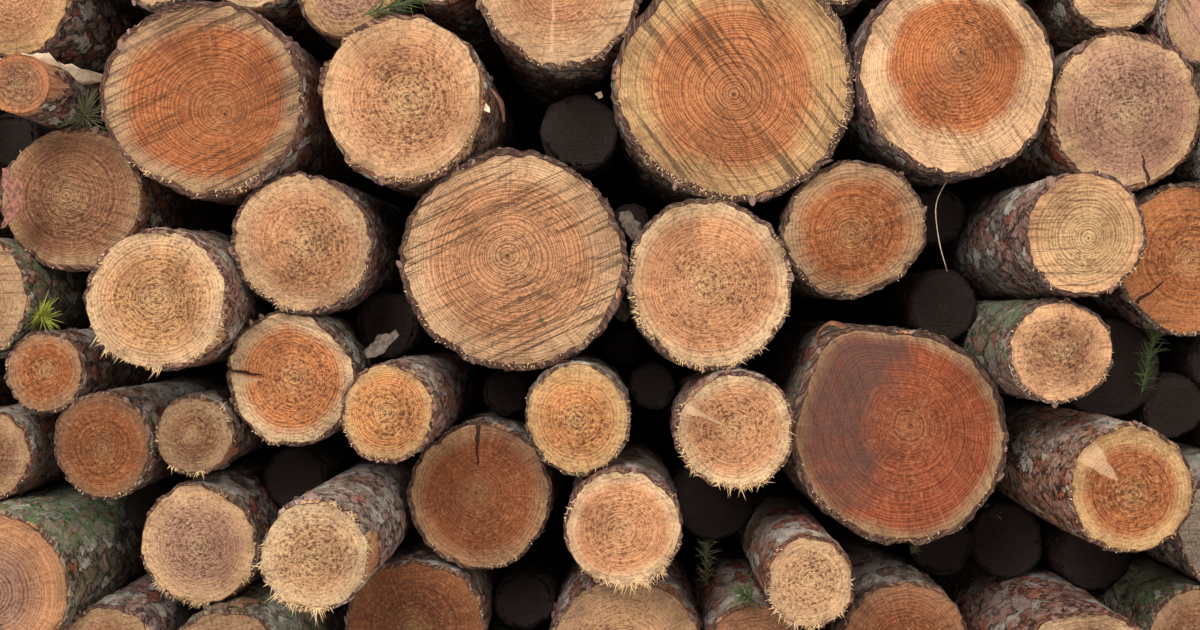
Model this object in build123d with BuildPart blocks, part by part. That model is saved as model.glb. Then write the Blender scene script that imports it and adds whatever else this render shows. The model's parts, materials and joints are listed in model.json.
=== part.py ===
# A stack of softwood roundwood, butt ends towards the front.
# X runs along the face of the stack, Y from the sawn butts to the sawn tops, Z up.
# The origin is on the ground under the middle of the stack.
from build123d import *
from math import atan2, cos, exp, hypot, pi, radians, sin, tan
from random import Random
import os

os.makedirs("parts", exist_ok=True)

# Driving dimensions, in millimetres unless the name says otherwise
stock_length = 3000  # a log as sawn, butt to top
length_spread = 35  # how far a log's own length may differ from that
narrowing_per_metre = 0.05  # share of its girth that a log loses in each metre
bark_gap = 0.4  # left between two logs that lie against each other
saw_skew = 2.2  # degrees that a saw cut may be out of square
oval_range = (0.008, 0.03)  # how far a stem is out of round, as a share of its radius
lobe_range = (0.004, 0.012)  # the same for three low lobes round the stem
outline_points = 24  # corners of a stem's outline, a flat strip of bark between each two
steps_round = 720  # directions in which a stem's reach is worked out

# A log goes to the nearest place where it lies against others. A place where it is only wedged,
# or touches one log alone, counts as further off, by these shares of its radius: first for a log
# that keeps its given place closely, then for one of the steady groups.
unsteady_costs = ((0.02, 0.04), (0.5, 1.5))
steady_groups = ("left_flank", "right_flank", "ridge", "inner")

# All stems narrow towards one point on the ground behind the stack, so two that touch at the
# front touch along their whole length.
taper_reach = 1000 / narrowing_per_metre

logs = []


def log(name, across, up, thick, proud=0, oval=None, lobe=None, flare=None, square=False, group=None):
    """Lay one log: the middle of its butt, its thickness over the bark and how proud it stands."""
    own = Random(name)
    place = taper_reach / (taper_reach + proud)
    item = {
        "name": name,
        "group": group,
        "near": (across * place, up * place),
        "radius": thick / 2 * place,
        "oval": oval or (own.uniform(*oval_range), own.uniform(0, 180)),
        "lobe": lobe or (own.uniform(*lobe_range), own.uniform(0, 120)),
        "flare": flare,
        "front": -proud,
        "length": stock_length + own.uniform(-length_spread, length_spread),
        "skew": [0 if square else own.uniform(-saw_skew, saw_skew) for _ in range(4)],
    }
    item["reach"] = reach_round(item)
    item["at"] = rest(item)
    logs.append(item)


def outline_radius(item, angle):
    """Distance from the middle of a stem to its bark, in one direction."""
    oval, oval_turn = item["oval"]
    lobe, lobe_turn = item["lobe"]
    share = 1 + oval * cos(2 * (angle - radians(oval_turn))) + lobe * cos(3 * (angle - radians(lobe_turn)))
    if item["flare"]:
        height, turn, width = item["flare"]
        away = (angle - radians(turn) + pi) % (2 * pi) - pi
        share += height * exp(-((away / radians(width)) ** 2))
    return item["radius"] * share


def outline(item):
    """Corners of a stem's outline round its own middle, closer together on a flared one."""
    points = outline_points * (2 if item["flare"] else 1)
    turns = [2 * pi * i / points for i in range(points)]
    return [(outline_radius(item, t) * cos(t), outline_radius(item, t) * sin(t)) for t in turns]


def reach_round(item):
    """How far a stem reaches in each direction, past which nothing of it lies."""
    rim = outline(item)
    turns = [2 * pi * i / steps_round for i in range(steps_round)]
    return [max(x * cos(t) + y * sin(t) for x, y in rim) for t in turns]


def reach_at(item, angle):
    """The reach in any direction, between the worked out ones."""
    place = angle / (2 * pi) * steps_round
    whole = int(place // 1)
    part = place - whole
    reach = item["reach"]
    return reach[whole % steps_round] * (1 - part) + reach[(whole + 1) % steps_round] * part


def ground_gap(item, place):
    """Daylight between a log and the ground, and the way up."""
    return place[1] - reach_at(item, -pi / 2), (0.0, 1.0)


def log_gap(lower, item, place):
    """Daylight between a laid log and one held at a place, and the direction it opens in."""
    across = place[0] - lower["at"][0]
    up = place[1] - lower["at"][1]

    def daylight(angle):
        return across * cos(angle) + up * sin(angle) - reach_at(lower, angle) - reach_at(item, angle + pi)

    middle = atan2(up, across)
    window = 0.5
    for _ in range(4):
        turns = [middle + window * (i / 4 - 1) for i in range(9)]
        middle = max(turns, key=daylight)
        window = window / 4
    return daylight(middle) - bark_gap, (cos(middle), sin(middle))


def gap_to(lower, item, place):
    return ground_gap(item, place) if lower is None else log_gap(lower, item, place)


def settle_on_two(item, first, second, place):
    """Move a log until it touches two others; None where it can't."""
    for _ in range(12):
        gap_one, way_one = gap_to(first, item, place)
        gap_two, way_two = gap_to(second, item, place)
        turn = way_one[0] * way_two[1] - way_one[1] * way_two[0]
        if abs(turn) < 0.05:
            return None
        across = (gap_two * way_one[1] - gap_one * way_two[1]) / turn
        up = (gap_one * way_two[0] - gap_two * way_one[0]) / turn
        place = (place[0] + across, place[1] + up)
        if hypot(across, up) > 6 * item["radius"]:
            return None
    if max(abs(gap_to(lower, item, place)[0]) for lower in (first, second)) > 0.2:
        return None
    held = -way_two[0] / turn > -0.02 and way_one[0] / turn > -0.02
    return place, held


def settle_on_one(item, lower, place):
    """Move a log straight against one other."""
    for _ in range(6):
        gap, way = gap_to(lower, item, place)
        place = (place[0] - gap * way[0], place[1] - gap * way[1])
    return place, way[1] > -0.3


def rest(item):
    """The place nearest to the one given where a log lies against others and cuts into none."""
    wedged_cost, lone_cost = (cost * item["radius"] for cost in unsteady_costs[item["group"] in steady_groups])
    for lift in range(20):
        start = (item["near"][0], item["near"][1] + 0.2 * lift * item["radius"])
        around = [None] + logs
        near = [lower for lower in around if gap_to(lower, item, start)[0] < item["radius"]]
        found = []

        def offer(place, touched, cost):
            clear = all(gap_to(lower, item, place)[0] > -0.05 for lower in around if lower not in touched)
            if clear:
                moved = hypot(place[0] - item["near"][0], place[1] - item["near"][1])
                found.append((moved + cost, place))

        for count, first in enumerate(near):
            place, carried = settle_on_one(item, first, start)
            offer(place, [first], 0 if first is None else lone_cost * (1 if carried else 3))
            for second in near[count + 1:]:
                settled = settle_on_two(item, first, second, start)
                if settled:
                    offer(settled[0], [first, second], 0 if settled[1] else wedged_cost)
        if found:
            return min(found)[1]
    raise ValueError("no room for " + item["name"])


# Logs that lie on the ground
log("base_log_1", -540, 101, 198, 40)
log("base_log_3", 16, 113, 232, -40)
log("base_log_6", 651, 104, 208, 40)
log("bed_1", -935, 80, 160, -30, group="bed")
log("bed_2", -772, 45, 90, -60, group="bed")
log("bed_3", -400, 50, 100, -20, group="bed")
log("bed_4", -185, 48, 96, -40, group="bed")
log("bed_5", 285, 52, 104, -50, group="bed")
log("bed_6", 530, 40, 80, -40, group="bed")
log("bed_7", 872, 50, 100, -30, group="bed")
log("left_1", -1110, 95, 190, 20, group="left_flank")
log("left_2", -1330, 120, 240, -30, group="left_flank")
log("left_3", -1500, 60, 120, 30, group="left_flank")
log("right_1", 1040, 115, 230, 30, group="right_flank")
log("right_2", 1260, 100, 200, -20, group="right_flank")
log("right_3", 1410, 55, 110, 20, group="right_flank")

# The logs between and over them, up to the lowest full course
log("base_log_7", -692, 145, 126, 60)
log("base_log_2", -290, 158, 200, -60)
log("base_log_4", 194, 128, 136, 0)
log("base_log_5", 422, 128, 196, -40)
log("base_log_8", 811, 153, 140, 0)
log("lower_log_1", -844, 234, 214, 100)
log("lower_log_2", -593, 279, 176, -20)
log("lower_log_3", -388, 311, 148, 220)
log("lower_log_4", -192, 342, 214, -80)
log("lower_log_5", 11, 317, 166, 60)
log("lower_log_6", 264, 258, 128, 110)
log("left_4", -1020, 262, 180, -20, group="left_flank")
log("left_5", -1230, 320, 220, 40, group="left_flank")
log("right_4", 1160, 292, 220, -40, group="right_flank")
log("inner_3", 500, 258, 100, -180, group="inner")
log("inner_4", 612, 258, 112, -200, group="inner")
log("inner_5", 150, 290, 114, -220, group="inner")
log("inner_6", -717, 315, 76, -200, group="inner")
log("middle_log_11", 882, 298, 194, 0)
log("lower_log_0", -892, 404, 136, -20)

# The middle course
log("middle_log_2", -721, 427, 146, 0)
log("middle_log_3", -597, 436, 118, 0)
log("middle_log_4", -468, 508, 190, -30)
log("middle_log_5", -311, 475, 138, 90)
log("middle_log_6", -52, 466, 156, 40)
log("middle_log_7", 163, 434, 164, 60)
log("middle_log_8", 402, 438, 308, 0, oval=(0.012, 150), lobe=(0.008, 60), flare=(0.17, 124, 17))
log("middle_log_10", 678, 384, 170, 150)
log("middle_log_9", 586, 556, 146, 110)
log("left_6", -1095, 480, 200, -50, group="left_flank")
log("middle_log_1", -808, 534, 120, 0)
log("middle_log_0", -912, 632, 174, 0)
log("left_7", -1075, 660, 150, 30, group="left_flank")
log("right_5", 1010, 462, 200, 20, group="right_flank")
log("inner_1", 480, 610, 100, -110, group="inner")
log("inner_2", 760, 520, 150, -130, group="inner")

# The upper course
log("upper_log_2", -625, 630, 202, 70)
log("upper_log_1", -786, 762, 208, -60)
log("upper_log_3", -444, 700, 200, -10)
log("upper_log_4", -146, 690, 314, 0)
log("upper_log_5", 130, 632, 240, 0)
log("upper_log_6", 354, 731, 200, -20)
log("upper_log_8", 828, 698, 216, -60)
log("upper_log_7", 616, 716, 168, 140)
log("right_6", 1000, 640, 170, -30, group="right_flank")
log("left_8", -968, 800, 180, -40, group="left_flank")

# The top course that shows its whole ends
log("inner_13", -900, 870, 90, -130, group="inner")
log("left_9", -985, 940, 140, 20, group="left_flank")
log("top_log_2", -812, 923, 92, 60)
log("top_log_4", -558, 900, 282, 10)
log("top_log_5", -297, 910, 234, 20)
log("top_log_7", 158, 916, 334, 0, square=True)
log("top_log_9", 469, 942, 286, 0)
log("top_log_10", 716, 894, 224, -30)
log("right_7", 905, 862, 160, 20, group="right_flank")

# The rounded ridge
log("top_log_1", -843, 1070, 168, 0)
log("top_log_3", -644, 1082, 102, 0)
log("top_log_6", -88, 1074, 232, -20)
log("top_log_8", 314, 1084, 102, -30)
log("top_log_11", 710, 1076, 144, -60)
log("ridge_1", -745, 1180, 130, -30, group="ridge")
log("ridge_2", -520, 1125, 150, -70, group="ridge")
log("ridge_3", -372, 1085, 150, -60, group="ridge")
log("ridge_4", -240, 1075, 120, -90, group="ridge")
log("ridge_5", 85, 1168, 160, -40, group="ridge")
log("ridge_6", 238, 1165, 130, -70, group="ridge")
log("ridge_7", 400, 1172, 150, -50, group="ridge")
log("ridge_8", 560, 1155, 150, -80, group="ridge")
log("ridge_9", 850, 1040, 140, -40, group="ridge")

# Thin ones set back in the widest gaps
log("inner_7", -66, 888, 116, -120, group="inner")
log("inner_8", 900, 540, 108, -140, group="inner")
log("inner_9", 732, 252, 106, -170, group="inner")
log("inner_10", -336, 594, 98, -150, group="inner")
log("inner_11", -138, 186, 98, -190, group="inner")
log("inner_12", -486, 366, 94, -160, group="inner")
log("inner_14", 486, 750, 90, -200, group="inner")
log("inner_15", -468, 222, 80, -150, group="inner")
log("inner_16", 2, 550, 64, -230, group="inner")
log("inner_17", 54, 508, 72, -180, group="inner")
log("inner_18", 20, 742, 52, -210, group="inner")
log("inner_19", -180, 486, 78, -190, group="inner")
log("inner_21", -768, 624, 82, -170, group="inner")
log("inner_22", 828, 450, 92, -150, group="inner")

# The origin goes under the middle of the whole stack, to the nearest millimetre
left_edge = min(item["at"][0] - reach_at(item, pi) for item in logs)
right_edge = max(item["at"][0] + reach_at(item, 0) for item in logs)
front_edge = min(item["front"] for item in logs)
back_edge = max(item["front"] + item["length"] for item in logs)
middle_across = round((left_edge + right_edge) / 2)
middle_along = round((front_edge + back_edge) / 2)


def saw_cut(item, along, tip, swing):
    """The plane of a saw cut, a few degrees out of square, and a stem's outline on it."""
    size = 1 - along / taper_reach
    across, up = (item["at"][0] * size, item["at"][1] * size)
    per_across = tan(radians(swing))
    per_up = tan(radians(tip))
    middle = Vector(across - middle_across, along - middle_along, up)
    plane = Plane(origin=middle, x_dir=(1, per_across, 0), z_dir=(per_across, -1, per_up))
    edge = []
    for x, z in outline(item):
        x, z = (item["at"][0] + x, item["at"][1] + z)
        lean = 1 + (per_across * x + per_up * z) / taper_reach
        reached = (along + per_across * (x - across) + per_up * (z - up)) / lean
        size = 1 - reached / taper_reach
        edge.append(plane.to_local_coords(Vector(x * size - middle_across, reached - middle_along, z * size)))
    return plane, edge


groups = {}
for item in logs:
    front = item["front"]
    with BuildPart() as stem:
        for along, skew in ((front, item["skew"][:2]), (front + item["length"], item["skew"][2:])):
            plane, edge = saw_cut(item, along, *skew)
            with BuildSketch(plane):
                with BuildLine():
                    Polyline(*edge, close=True)
                make_face()
        loft(ruled=True)
    if item["group"]:
        groups.setdefault(item["group"], []).append(stem.part)
    else:
        stem.part.label = item["name"]
        export_step(stem.part, f"parts/{item['name']}.step")

# The logs that the front logs hide or that stand beyond them go together, side by side
for group, stems in groups.items():
    with BuildPart() as bundle:
        add(stems)
    bundle.part.label = group + "_logs"
    export_step(bundle.part, f"parts/{group}_logs.step")
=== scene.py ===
import bpy
import bmesh
import json
import math
import random
import numpy as np
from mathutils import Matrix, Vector

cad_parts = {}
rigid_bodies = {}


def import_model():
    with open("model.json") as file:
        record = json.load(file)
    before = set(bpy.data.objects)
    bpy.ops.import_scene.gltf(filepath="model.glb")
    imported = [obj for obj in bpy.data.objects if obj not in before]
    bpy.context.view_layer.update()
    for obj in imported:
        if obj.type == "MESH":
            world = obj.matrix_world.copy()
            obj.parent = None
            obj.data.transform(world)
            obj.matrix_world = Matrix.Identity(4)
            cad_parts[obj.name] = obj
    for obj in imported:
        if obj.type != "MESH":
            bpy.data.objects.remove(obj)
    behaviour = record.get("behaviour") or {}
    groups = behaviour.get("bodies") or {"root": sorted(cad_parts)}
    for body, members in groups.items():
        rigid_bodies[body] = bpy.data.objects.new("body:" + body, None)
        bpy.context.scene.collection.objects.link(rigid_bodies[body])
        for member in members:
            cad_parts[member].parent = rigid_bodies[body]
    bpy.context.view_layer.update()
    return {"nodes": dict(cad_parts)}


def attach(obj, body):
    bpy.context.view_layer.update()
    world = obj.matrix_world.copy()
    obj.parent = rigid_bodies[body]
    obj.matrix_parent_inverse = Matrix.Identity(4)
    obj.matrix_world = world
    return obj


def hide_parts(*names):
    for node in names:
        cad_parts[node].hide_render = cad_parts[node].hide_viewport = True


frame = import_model()
print("stack loaded:", len(frame["nodes"]), "nodes")


# Colours are given as seen, from 0 to 255, and turned into what the shaders take
def seen(red, green, blue):
    def straight(c):
        c = c / 255
        return c / 12.92 if c <= 0.04045 else ((c + 0.055) / 1.055) ** 2.4
    return (straight(red), straight(green), straight(blue), 1.0)


def placed(name, data):
    piece = bpy.data.objects.new(name, data)
    bpy.context.scene.collection.objects.link(piece)
    return piece


# Camera

photoView = {
    "place": (0.0465, -3.902, 0.701),
    "pixels": (1200, 630),
    "sensor": 36,
    "lens": 51.4,
    "down": 2.29,  # degrees below level
    "turn": 0.49,  # degrees to the left of straight on
}


def setCamera(view):
    data = bpy.data.cameras.new("photoCamera")
    data.lens = view["lens"]
    data.sensor_width = view["sensor"]
    camera = placed("photoCamera", data)
    camera.location = view["place"]
    camera.rotation_euler = (math.radians(90 - view["down"]), 0, math.radians(view["turn"]))
    bpy.context.scene.camera = camera


setCamera(photoView)


# Studio: floor, world and lamps

studio = {
    "floor": seen(206, 204, 200),
    "floorReach": 90,
    "floorDrop": 0.002,
    "floorRough": 0.9,
    "air": (seen(248, 242, 234), 0.55),  # what lights the stack: colour and strength
    "back": (seen(238, 238, 236), 1.0),  # what the camera sees behind it
    "lamps": (
        # place, aim, size, power
        ((-1.6, -6.2, 3.6), (0, -1.5, 0.7), 3.0, 278),
        ((2.6, -5.6, 1.9), (0, -1.5, 0.6), 2.6, 72),
    ),
}


def lookingAt(place, aim):
    return (Vector(aim) - Vector(place)).to_track_quat("-Z", "Y").to_euler()


def setStudio(room):
    scene = bpy.context.scene
    scene.view_settings.view_transform = "Standard"
    world = bpy.data.worlds.new("studioAir")
    world.use_nodes = True
    tree = world.node_tree
    tree.nodes.clear()
    out = tree.nodes.new("ShaderNodeOutputWorld")
    path = tree.nodes.new("ShaderNodeLightPath")
    mix = tree.nodes.new("ShaderNodeMixShader")
    for socket, (shade, strength) in enumerate((room["air"], room["back"]), 1):
        background = tree.nodes.new("ShaderNodeBackground")
        background.inputs["Color"].default_value = shade
        background.inputs["Strength"].default_value = strength
        tree.links.new(background.outputs[0], mix.inputs[socket])
    tree.links.new(path.outputs["Is Camera Ray"], mix.inputs[0])
    tree.links.new(mix.outputs[0], out.inputs["Surface"])
    scene.world = world
    for number, (place, aim, size, power) in enumerate(room["lamps"]):
        data = bpy.data.lights.new("softbox%d" % number, "AREA")
        data.shape = "DISK"
        data.size = size
        data.energy = power
        lamp = placed("softbox%d" % number, data)
        lamp.location = place
        lamp.rotation_euler = lookingAt(place, aim)
    mesh = bpy.data.meshes.new("studioFloor")
    reach, low = room["floorReach"], -room["floorDrop"]
    corners = [(x * reach, y * reach, low) for x, y in ((-1, -1), (1, -1), (1, 1), (-1, 1))]
    mesh.from_pydata(corners, [], [(0, 1, 2, 3)])
    material = bpy.data.materials.new("floorCard")
    material.use_nodes = True
    shader = material.node_tree.nodes["Principled BSDF"]
    shader.inputs["Base Color"].default_value = room["floor"]
    shader.inputs["Roughness"].default_value = room["floorRough"]
    mesh.materials.append(material)
    floor = placed("studioFloor", mesh)


setStudio(studio)
print("camera and studio set")


# Small helpers for shader trees

class Tree:
    def __init__(self, tree):
        self.tree = tree

    def add(self, kind, settings=None, **inputs):
        node = self.tree.nodes.new(kind)
        for key, value in (settings or {}).items():
            setattr(node, key, value)
        for key, value in inputs.items():
            self.put(node, key, value)
        return node

    def put(self, node, key, value):
        byNumber = key[0] == "i" and key[1:].isdigit()
        socket = node.inputs[int(key[1:]) if byNumber else key.replace("_", " ")]
        if isinstance(value, bpy.types.NodeSocket):
            self.tree.links.new(value, socket)
        elif isinstance(value, bpy.types.Node):
            self.tree.links.new(value.outputs[0], socket)
        else:
            socket.default_value = value

    def math(self, operation, a, b=0.0, c=0.0, clamp=False):
        settings = {"operation": operation, "use_clamp": clamp}
        return self.add("ShaderNodeMath", settings, i0=a, i1=b, i2=c).outputs[0]

    def times(self, a, b):
        return self.math("MULTIPLY", a, b)

    def plus(self, a, b):
        return self.math("ADD", a, b)

    def minus(self, a, b):
        return self.math("SUBTRACT", a, b)

    def timesPlus(self, a, b, c, clamp=False):
        return self.math("MULTIPLY_ADD", a, b, c, clamp)

    def parts(self, vector):
        return self.add("ShaderNodeSeparateXYZ", i0=vector).outputs

    def join(self, x, y, z):
        return self.add("ShaderNodeCombineXYZ", i0=x, i1=y, i2=z).outputs[0]

    def vector(self, operation, a, b=(0, 0, 0)):
        node = self.add("ShaderNodeVectorMath", {"operation": operation}, i0=a)
        if operation == "SCALE":
            self.put(node, "Scale", b)
        else:
            self.put(node, "i1", b)
        return node.outputs["Value" if operation == "LENGTH" else "Vector"]

    def ease(self, value, low, high, start=0.0, end=1.0):
        smooth = {"interpolation_type": "SMOOTHSTEP"}
        node = self.add("ShaderNodeMapRange", smooth, i0=value, i1=low, i2=high, i3=start, i4=end)
        return node.outputs[0]

    def mix(self, amount, a, b, blend="MIX"):
        settings = {"data_type": "RGBA", "blend_type": blend, "clamp_factor": True}
        return self.add("ShaderNodeMix", settings, i0=amount, i6=a, i7=b).outputs[2]

    def noise(self, place, scale, detail=2.0, rough=0.5):
        node = self.add("ShaderNodeTexNoise", None, Vector=place, Scale=scale, Detail=detail, Roughness=rough)
        return node.outputs["Fac"]

    def noiseAlong(self, value, detail):
        node = self.add("ShaderNodeTexNoise", {"noise_dimensions": "1D"}, Scale=1.0, Detail=detail, W=value)
        return node.outputs["Fac"]

    def bump(self, height, depth, strength=1.0):
        return self.add("ShaderNodeBump", None, Strength=strength, Distance=depth, Height=height)

    def attribute(self, name, output="Fac"):
        return self.add("ShaderNodeAttribute", {"attribute_name": name}).outputs[output]


def newMaterial(name):
    material = bpy.data.materials.new(name)
    material.use_nodes = True
    material.node_tree.nodes.clear()
    tree = Tree(material.node_tree)
    out = tree.add("ShaderNodeOutputMaterial")
    shader = tree.add("ShaderNodeBsdfPrincipled")
    tree.put(out, "Surface", shader)
    return material, tree, shader


def finishMaterial(tree, shader, colour, rough, shine, bump):
    tree.put(shader, "Base Color", colour)
    tree.put(shader, "Roughness", rough)
    tree.put(shader, "Normal", bump)
    shader.inputs["Specular IOR Level"].default_value = shine


# Sawn ends

sawnEnd = {
    "ringWidth": 0.0046,
    "ringWobble": 0.0044,
    "wobbleScale": 22,
    "stretchScale": 45,
    "yearScale": 110,
    "crumbsAcross": 150.0,
    "crumbsAlong": 200,
    "grainScale": 210,
    "lineScale": 190,
    "lineStretch": 4.5,
    "barkScale": 150,
    "bumpDepth": 0.003,
    "shine": 0.3,
    "lateTint": seen(112, 70, 50),
    "barkSection": seen(92, 62, 50),
    "barkFleck": seen(190, 150, 124),
    "innerBark": seen(178, 108, 74),
    "crack": seen(74, 44, 30),
    "sawDirt": seen(70, 48, 34),
    "spike": seen(228, 186, 150),
    "stain": seen(92, 66, 58),
    # painted shade for the front ends of logs set back in gaps
    "paintedGapShade": seen(30, 20, 16),
    "grime": seen(126, 92, 58),
    # pale flecks in the wood, and the painted highlights on the torn grain's tips
    "paleFleckAndHighlight": seen(255, 224, 162),
    # the dark pith, and the painted shade in the torn grain's hollows
    "pithAndHollowShade": seen(62, 32, 18),
}


def makeSawnEnd(look):
    material, t, shader = newMaterial("sawnEnd")
    place = t.attribute("endPlace", "Vector")
    flat = t.vector("MULTIPLY", place, (1, 1, 0))
    spread = t.parts(place)
    seed = spread[2]
    share = t.attribute("endShare")
    ring = t.attribute("endRing")
    endLook, sawWay, crackWay, spikeWay = (
        t.parts(t.attribute(name, "Vector")) for name in ("endLook", "sawWay", "crackWay", "spikeWay")
    )
    heart = t.attribute("heartColour", "Color")
    sap = t.attribute("sapColour", "Color")
    soft = t.attribute("heartSoft")
    way = t.vector("NORMALIZE", flat)
    seeded = t.vector("ADD", place, t.join(seed, t.times(seed, 1.7), 0.0))

    # distances along and across a direction in the face
    def turned(parts):
        along = t.plus(t.times(spread[0], parts[0]), t.times(spread[1], parts[1]))
        across = t.minus(t.times(spread[1], parts[0]), t.times(spread[0], parts[1]))
        return along, across

    # rings, a dark late part in each year, some years stronger than others
    wobble = t.minus(t.noise(seeded, look["wobbleScale"], 2), 0.5)
    bent = t.timesPlus(wobble, look["ringWobble"], ring)
    turns = t.times(bent, 2 * math.pi / look["ringWidth"])
    stretch = t.noiseAlong(t.timesPlus(ring, look["stretchScale"], seed), 1)
    turns = t.timesPlus(stretch, 18, turns)
    wave = t.timesPlus(t.math("SINE", turns), 0.5, 0.5)
    late = t.math("POWER", wave, 1.7)
    years = t.noiseAlong(t.timesPlus(ring, look["yearScale"], seed), 2)
    late = t.times(late, t.ease(years, 0.3, 0.7, 0.5, 1.0))

    # torn grain in crumbs that follow the rings, and finer tearing across them
    crumbPlace = t.join(
        t.times(spread[0], look["crumbsAcross"]), t.times(spread[1], look["crumbsAcross"]),
        t.times(bent, look["crumbsAlong"]),
    )
    crumbs = t.noise(crumbPlace, 1.0, 2, 0.6)
    grain = t.noise(seeded, look["grainScale"], 3, 0.75)
    tear = t.plus(t.times(crumbs, 0.4), t.times(grain, 0.6))
    tearPatch = t.ease(t.noise(seeded, 11, 2), 0.32, 0.62, 0.35, 1.0)
    fuzz = t.times(endLook[2], t.times(tearPatch, t.ease(share, 0.9, 0.4, 0.3, 1.0)))

    # heartwood and sapwood
    edgeNoise = t.noise(t.vector("ADD", t.vector("SCALE", way, 1.1), seeded), 1.6, 3)
    edge = t.timesPlus(t.minus(edgeNoise, 0.5), 0.3, share)
    pastHeart = t.math("DIVIDE", t.minus(edge, endLook[0]), soft)
    inHeart = t.minus(1.0, t.timesPlus(pastHeart, 0.5, 0.5, clamp=True))
    colour = t.mix(inHeart, sap, heart)
    late = t.times(late, t.timesPlus(inHeart, 0.4, 0.6))
    middlePale = t.times(t.ease(share, 0.4, 0.0), t.times(endLook[2], 0.7))
    colour = t.mix(middlePale, colour, t.mix(0.5, colour, look["paleFleckAndHighlight"]))
    cloud = t.noise(seeded, 10, 3, 0.6)
    colour = t.mix(t.ease(cloud, 0.35, 0.75, 0.0, 0.5), colour, look["lateTint"], "MULTIPLY")
    rayPlace = t.vector("ADD", t.vector("SCALE", way, 11), t.vector("SCALE", seeded, 7))
    rays = t.noise(rayPlace, 2.8, 3, 0.65)
    colour = t.mix(t.ease(rays, 0.5, 0.75, 0.0, 0.45), colour, look["lateTint"], "MULTIPLY")
    colour = t.mix(t.ease(rays, 0.46, 0.2, 0.0, 0.22), colour, look["paleFleckAndHighlight"])
    ringed = t.times(late, sawWay[2])
    for amount in (ringed, t.times(ringed, 0.6)):
        colour = t.mix(amount, colour, look["lateTint"], "MULTIPLY")

    # saw lines across the face, dirtier in the sapwood
    alongLine, acrossLine = turned(sawWay)
    linePlace = t.join(t.times(acrossLine, look["lineScale"]), t.times(alongLine, look["lineStretch"]), seed)
    lines = t.noise(linePlace, 1.0, 4, 0.72)
    lineMask = t.ease(lines, 0.54, 0.61)
    patch = t.ease(t.noise(seeded, 8, 2), 0.35, 0.6, 0.3, 1.0)
    patch = t.times(patch, t.timesPlus(inHeart, -0.15, 1.0))
    lineMask = t.times(t.times(lineMask, endLook[1]), patch)
    colour = t.mix(t.times(lineMask, 0.8), colour, look["sawDirt"])

    # torn grain, with painted shade in its hollows and painted highlights on its tips
    paintedTipHighlight = t.times(t.ease(tear, 0.53, 0.6), t.timesPlus(fuzz, 1.15, 0.18))
    paintedHollowShade = t.times(t.ease(tear, 0.485, 0.41), t.timesPlus(fuzz, 1.15, 0.3))
    highlightColour = t.mix(0.24, t.vector("SCALE", colour, 1.3), look["paleFleckAndHighlight"])
    colour = t.mix(paintedHollowShade, colour, t.mix(0.72, colour, look["pithAndHollowShade"]))
    colour = t.mix(paintedTipHighlight, colour, highlightColour)

    # a split, a pale branch trace, the pith
    def ray(parts, width, spreading, wander):
        along, across = turned(parts)
        across = t.plus(across, t.times(t.minus(t.noise(seeded, 60, 3), 0.5), wander))
        past = t.minus(share, parts[2])
        half = t.plus(t.times(past, spreading), width)
        inside = t.ease(t.minus(t.math("ABSOLUTE", across), half), -0.0006, 0.001, 1.0, 0.0)
        return t.times(inside, t.times(t.ease(past, 0.0, 0.03), t.math("GREATER_THAN", along, 0)))

    spike = ray(spikeWay, 0.0006, t.attribute("spikeWide"), 0.006)
    spikeShade = t.mix(t.ease(grain, 0.4, 0.6, 0.0, 0.35), look["spike"], sap)
    colour = t.mix(t.times(spike, t.ease(share, 1.0, 0.9, 0.25, 0.62)), colour, spikeShade)
    crack = ray(crackWay, 0.0005, 0.0034, 0.012)
    colour = t.mix(crack, colour, look["crack"])
    colour = t.mix(t.ease(share, 0.01, 0.024, 0.8, 0.0), colour, look["pithAndHollowShade"])

    # wet stain, weathered edge, bark in section, then painted shade on the ends of logs set back in gaps
    stain = t.attribute("endStain")
    stained = t.times(stain, t.ease(t.noise(seeded, 30, 4, 0.7), 0.2, 0.6, 0.45, 1.0))
    colour = t.mix(stained, colour, t.mix(0.85, colour, look["stain"]))
    grime = t.times(t.ease(share, 0.8, 1.0, 0.0, 0.6), t.ease(t.noise(seeded, 34, 4, 0.65), 0.45, 0.66))
    colour = t.mix(grime, colour, look["grime"])
    inBark = t.attribute("endBark")
    barkNoise = t.noise(seeded, look["barkScale"], 4, 0.65)
    barkShade = t.mix(0.5, look["barkFleck"], t.attribute("barkColour", "Color"))
    section = t.mix(t.ease(barkNoise, 0.45, 0.62), look["barkSection"], barkShade)
    section = t.mix(t.ease(inBark, 0.6, 0.2, 0.0, 0.7), section, look["innerBark"])
    colour = t.mix(t.ease(t.timesPlus(t.minus(barkNoise, 0.5), 0.5, inBark), 0.1, 0.3), colour, section)
    # painted shade: the front end of a log set back in a gap turns near black
    colour = t.mix(t.ease(stain, 1.2, 1.9, 0.0, 0.94), colour, look["paintedGapShade"])

    height = t.minus(t.times(ringed, -0.7), t.times(lineMask, 0.9))
    height = t.plus(height, t.times(t.timesPlus(fuzz, 5.5, 1.3), tear))
    height = t.minus(height, t.times(crack, 4.0))
    height = t.plus(height, t.times(inBark, t.times(barkNoise, 4.0)))
    rough = t.ease(crumbs, 0.3, 0.7, 0.68, 0.9)
    finishMaterial(t, shader, colour, rough, look["shine"], t.bump(height, look["bumpDepth"]))
    return material


sawnEndMaterial = makeSawnEnd(sawnEnd)


# Bark

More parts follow.
